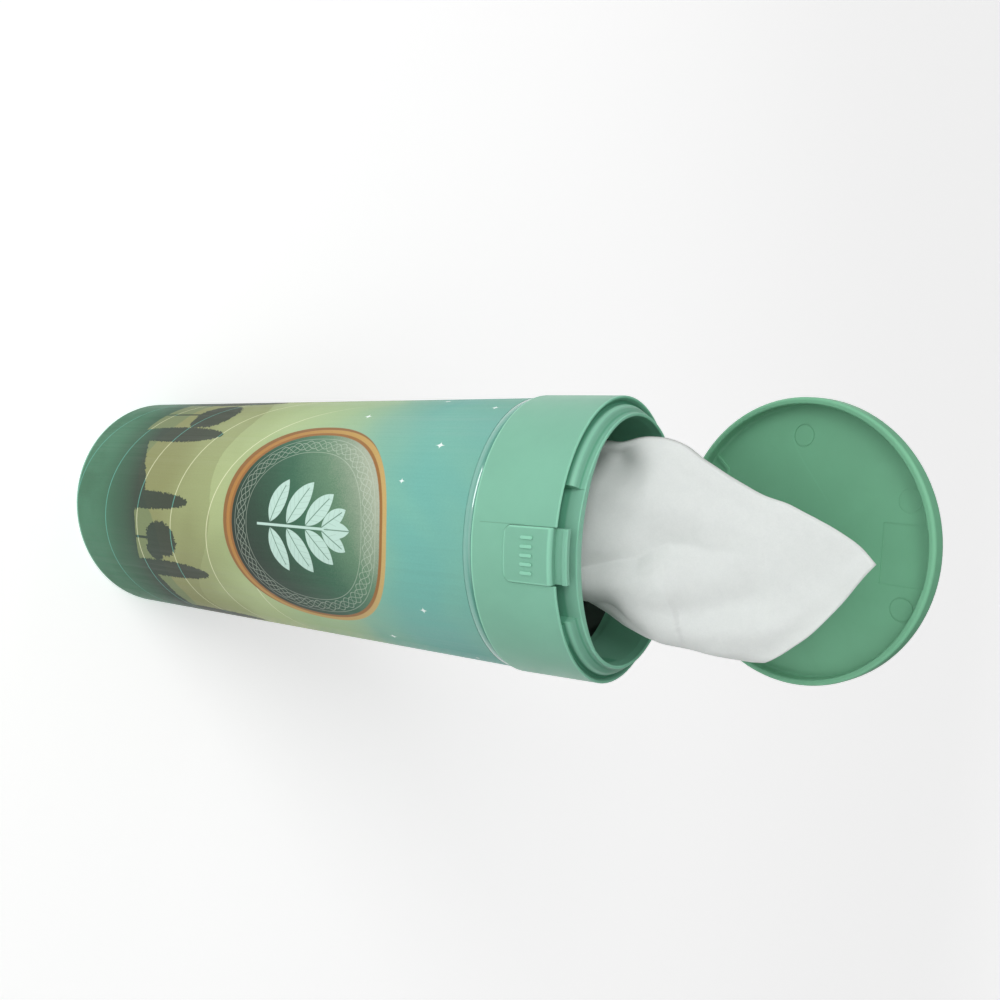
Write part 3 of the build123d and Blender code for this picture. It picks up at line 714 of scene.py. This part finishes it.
def sheet_mesh():
    front = patch(upper, lower_front, end_edge)
    back = patch(upper, lower_back, [(x - 0.25, y + 0.4, z - 0.35) for x, y, z in end_edge])
    t = np.linspace(0, 1, NT)[None, :]
    s = np.linspace(0, 1, NS)[:, None]
    f = relief(front)
    round_edge = np.sqrt(1 - (1 - np.clip(t / 0.035, 0, 1)) ** 2)
    belly = 0.40 + 0.45 * np.sin(np.pi * t) * np.clip(s / 0.5, 0, 1) * (1 - 0.7 * s)
    gap = belly * round_edge
    front[..., 1] += f - gap
    back[..., 1] += relief(back) + gap + 0.35 * np.sin(np.pi * t) * np.sin(7 * t + 5 * s)
    # one cloth: up the front from its free edge, over the fold, and down the back
    grid = np.concatenate([front[:, ::-1], back[:, 1:]], axis=1)
    rows, cols = grid.shape[:2]
    faces = [(i * cols + j, i * cols + j + 1, (i + 1) * cols + j + 1, (i + 1) * cols + j)
             for i in range(rows - 1) for j in range(cols - 1)]
    me = bpy.data.meshes.new("drawn_tissue")
    me.from_pydata((grid.reshape(-1, 3) * MM).tolist(), [], faces)
    me.polygons.foreach_set("use_smooth", [True] * len(me.polygons))
    ob = bpy.data.objects.new("drawn_tissue", me)
    scene.collection.objects.link(ob)
    mod = ob.modifiers.new("thickness", "SOLIDIFY")
    mod.thickness = 0.00022
    mod.offset = 0.0
    mod.use_even_offset = True
    dg = bpy.context.evaluated_depsgraph_get()
    done = bpy.data.meshes.new_from_object(ob.evaluated_get(dg))
    ob.modifiers.clear()
    ob.data = done
    done.materials.clear()
    done.materials.append(sheet_mat)
    return ob


sheet = sheet_mesh()
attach(sheet, "canister")
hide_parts("tissue_sheet")
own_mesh(sheet)


# ------------------------------------------------------------- tissue roll
def roll_mesh():
    """The wound refill: a spiral of layers on top, drawn up round the sheet, and a soft wound side."""
    low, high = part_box("tissue_roll")
    R, z0, z1 = high[0] * 1000 - 0.12, low[2] * 1000 + 0.05, high[2] * 1000 - 0.1
    seg = 160
    th = np.linspace(0, 2 * np.pi, seg, endpoint=False)
    pitch = 0.9
    prof = []
    for r in np.arange(3.2, R - 1.6, 0.15):
        turn = (r + th / (2 * np.pi) * pitch) / pitch
        layer = np.floor(turn)
        saw = np.abs((turn % 1.0) - 0.5) * 2
        edge = np.clip((saw - 0.35) / 0.3, 0, 1)
        lift = 0.55 * np.sin(layer * 12.9898) * 0.5 + 0.25 * np.sin(layer * 4.7 + 3 * th)
        z = z1 - 1.0 - 0.45 * edge + 0.30 * lift
        z -= 0.9 * np.clip((r - (R - 4)) / 4, 0, 1) ** 2
        core = np.exp(-((r - 6.5) / 3.6) ** 2)
        z = z - 4.5 * np.clip((8.5 - r) / 5.3, 0, 1) ** 1.5 + 0.6 * core * np.sin(2 * th + 0.7)
        wob = 0.10 * np.sin(3 * th + layer) + 0.06 * np.sin(7 * th + 1.3 * layer)
        prof.append(np.stack([(r + wob) * np.cos(th), (r + wob) * np.sin(th), np.minimum(z, z1)], 1))
    for k in np.linspace(0, np.pi / 2, 9)[1:]:
        r = R - 1.6 + 1.6 * np.sin(k)
        z = z1 - 1.9 - 1.6 * (1 - np.cos(k))
        prof.append(np.stack([r * np.cos(th), r * np.sin(th), np.full(seg, z)], 1))
    for z in np.linspace(z1 - 4.0, z0 + 1.2, 60):
        r = R - 0.10 - 0.10 * np.sin(z * 0.35 + 2 * th) - 0.06 * np.sin(5 * th + z * 0.11)
        prof.append(np.stack([r * np.cos(th), r * np.sin(th), np.full(seg, z)], 1))
    prof.append(np.stack([(R - 1.0) * np.cos(th), (R - 1.0) * np.sin(th), np.full(seg, z0)], 1))
    rings = np.array(prof)
    verts = rings.reshape(-1, 3).tolist()
    n = len(rings)
    faces = [(i * seg + j, (i + 1) * seg + j, (i + 1) * seg + (j + 1) % seg, i * seg + (j + 1) % seg)
             for i in range(n - 1) for j in range(seg)]
    # close the core below the spiral, and the underside
    verts.append([0, 0, float(rings[0, :, 2].mean() - 6.0)])
    core = len(verts) - 1
    faces += [(core, j, (j + 1) % seg) for j in range(seg)]
    verts.append([0, 0, z0])
    foot = len(verts) - 1
    last = (n - 1) * seg
    faces += [(foot, last + (j + 1) % seg, last + j) for j in range(seg)]
    me = bpy.data.meshes.new("refill_roll")
    me.from_pydata((np.array(verts) * MM).tolist(), [], faces)
    me.polygons.foreach_set("use_smooth", [True] * len(me.polygons))
    me.materials.append(roll_mat)
    bm = bmesh.new()
    bm.from_mesh(me)
    bmesh.ops.recalc_face_normals(bm, faces=bm.faces)
    bm.to_mesh(me)
    bm.free()
    ob = bpy.data.objects.new("refill_roll", me)
    scene.collection.objects.link(ob)
    return ob


roll = roll_mesh()
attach(roll, "canister")
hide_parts("tissue_roll")

# ------------------------------------------------------- floor and lights
rings, seg = 26, 96
verts, faces = [(0.0, 0.0, 0.0)], []
for i in range(rings):
    rad = 2.0 * 1.13 ** i * (1 + i * 0.02)
    up = 1.4 * max(0.0, (rad - 8.0) / 30.0) ** 2
    verts += [(rad * math.cos(2 * math.pi * j / seg), rad * math.sin(2 * math.pi * j / seg), up) for j in range(seg)]
faces += [(0, 1 + j, 1 + (j + 1) % seg) for j in range(seg)]
faces += [(1 + i * seg + j, 1 + (i + 1) * seg + j, 1 + (i + 1) * seg + (j + 1) % seg, 1 + i * seg + (j + 1) % seg)
          for i in range(rings - 1) for j in range(seg)]
me = bpy.data.meshes.new("floor")
me.from_pydata(verts, [], faces)
me.polygons.foreach_set("use_smooth", [True] * len(me.polygons))
floor = bpy.data.objects.new("floor", me)
scene.collection.objects.link(floor)
m, t, b, co = start("pale_floor")
b.inputs["Base Color"].default_value = (0.93, 0.93, 0.93, 1)
b.inputs["Roughness"].default_value = 0.95
b.inputs["Specular IOR Level"].default_value = 0.05
b.inputs["Emission Color"].default_value = (1, 1, 1, 1)
b.inputs["Emission Strength"].default_value = 0.44
me.materials.append(m)

# studio: even pale walls with one very large soft light in front on the left
world = bpy.data.worlds.new("studio")
scene.world = world
world.use_nodes = True
t = world.node_tree
V.tree = t
bg = t.nodes["Background"]
co = t.nodes.new("ShaderNodeTexCoord")
sep = t.nodes.new("ShaderNodeSeparateXYZ")
t.links.new(co.outputs["Generated"], sep.inputs[0])
wx, wy, wz = (V(sep.outputs[i]) for i in range(3))
towards = Vector((-0.17, -0.74, 0.62)).normalized()
lobe = step(wx * towards.x + wy * towards.y + wz * towards.z, 0.80, 0.30)
t.links.new((lobe * 1.27 + (0.17 - wx * 0.09 - wy * 0.07)).s, bg.inputs["Strength"])
bg.inputs["Color"].default_value = (1, 1, 1, 1)


def area(name, place, target, size, power, colour=(1, 1, 1)):
    d = bpy.data.lights.new(name, "AREA")
    d.shape = "RECTANGLE"
    d.size, d.size_y = size
    d.energy = power
    d.color = colour
    o = bpy.data.objects.new(name, d)
    scene.collection.objects.link(o)
    o.location = place
    o.rotation_euler = (Vector(target) - Vector(place)).to_track_quat("-Z", "Y").to_euler()
    return o


area("key", (-0.62, -0.72, 0.62), (0, 0, 0.16), (0.56, 0.24), 3.3)
area("strip", (-0.85, 0.35, 0.55), (0, 0, 0.16), (0.10, 0.7), 0.16)

scene.view_settings.view_transform = "Standard"
scene.view_settings.look = "None"
